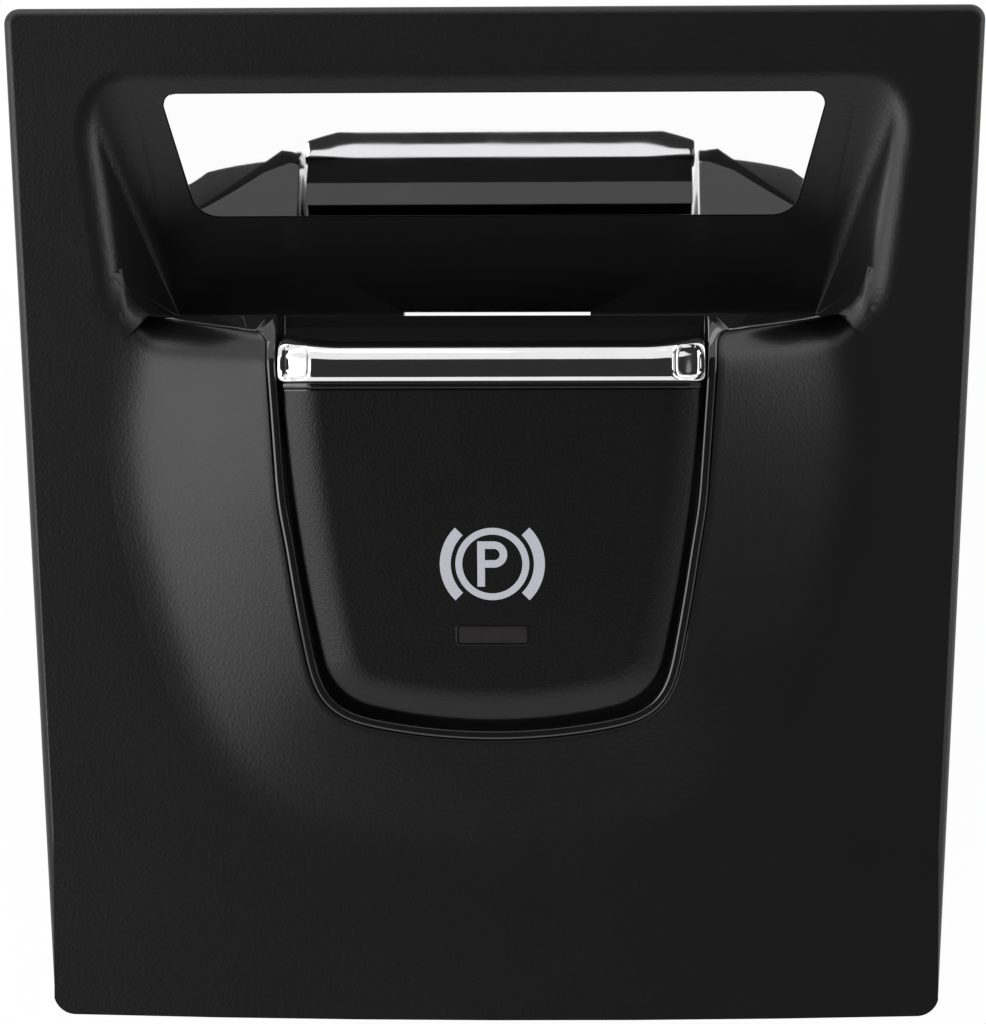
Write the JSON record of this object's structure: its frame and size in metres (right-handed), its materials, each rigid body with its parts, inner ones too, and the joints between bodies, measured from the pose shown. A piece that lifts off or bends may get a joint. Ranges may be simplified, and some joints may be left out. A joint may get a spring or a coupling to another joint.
{
  "type": "parking brake switch",
  "caption": "Electric parking brake switch: a rocking lever with a chrome edge and brake sign in a console panel with a finger pocket, over a switch block with a connector.",
  "frame": {"origin": "under the middle of the panel's outline, on the back face of the rear cover", "axes": "+X across the panel to the right as the driver sees it, +Y up the panel towards the finger pocket, +Z out of the panel's face"},
  "size_m": [0.086, 0.0892, 0.0492],
  "materials": {
    "board_green": "matt",
    "bush_white": "matt",
    "chip_black": "matt",
    "chrome": "polished",
    "clear_guide": "gloss",
    "frame_black": "matt",
    "gloss_black": "gloss",
    "housing_grey": "matt",
    "led_white": "matt",
    "lever_black": "matt",
    "mirror": "polished",
    "panel_black": "matt",
    "plunger_cream": "matt",
    "rubber_black": "matt",
    "smoke_lens": "gloss",
    "socket_black": "matt",
    "spring_steel": "satin",
    "steel": "satin",
    "switch_black": "matt",
    "tin": "satin",
    "zinc_steel": "satin"
  },
  "bodies": {
    "root": {"fascia_panel": "panel_black", "pocket_mirror": "mirror", "inner_bezel": "gloss_black", "pivot_pin": "steel", "return_spring": "spring_steel", "stop_pads": "rubber_black", "switch_housing": "housing_grey", "rear_cover": "housing_grey", "housing_screws": "zinc_steel", "circuit_board": "board_green", "board_screws": "zinc_steel", "board_chips": "chip_black", "board_leds": "led_white", "light_pipes": "clear_guide", "pull_switch": "switch_black", "release_switch": "switch_black", "connector_header": "socket_black", "connector_pins": "tin", "retaining_clips": "spring_steel"},
    "lever": {"lever_cap": "lever_black", "chrome_trim": "chrome", "finger_grip": "gloss_black", "indicator_lens": "smoke_lens", "lever_carrier": "frame_black", "symbol_light_guide": "clear_guide", "lever_screws": "zinc_steel", "pivot_bushes": "bush_white"},
    "pull_plunger": {"pull_plunger": "plunger_cream"},
    "release_plunger": {"release_plunger": "plunger_cream"}
  },
  "joints": [
    {"name": "lever_pull", "type": "hinge", "parent": "root", "child": "lever", "pos_m": [0, -0.014, 0.039], "axis": [1, 0, 0], "range_deg": [-2.5, 9], "stiffness_Nm_per_rad": 1.2, "deforming": ["return_spring"]},
    {"name": "pull_plunger_slide", "type": "slide", "parent": "root", "child": "pull_plunger", "axis": [0, 1, 0], "range_m": [-0.0006, 0.0021]},
    {"name": "release_plunger_slide", "type": "slide", "parent": "root", "child": "release_plunger", "axis": [0, 1, 0], "range_m": [-0.0006, 0.0021]}
  ],
  "couplings": [
    {"joint": "pull_plunger_slide", "follows": "lever_pull", "m_per_rad": 0.013},
    {"joint": "release_plunger_slide", "follows": "lever_pull", "m_per_rad": 0.013}
  ]
}
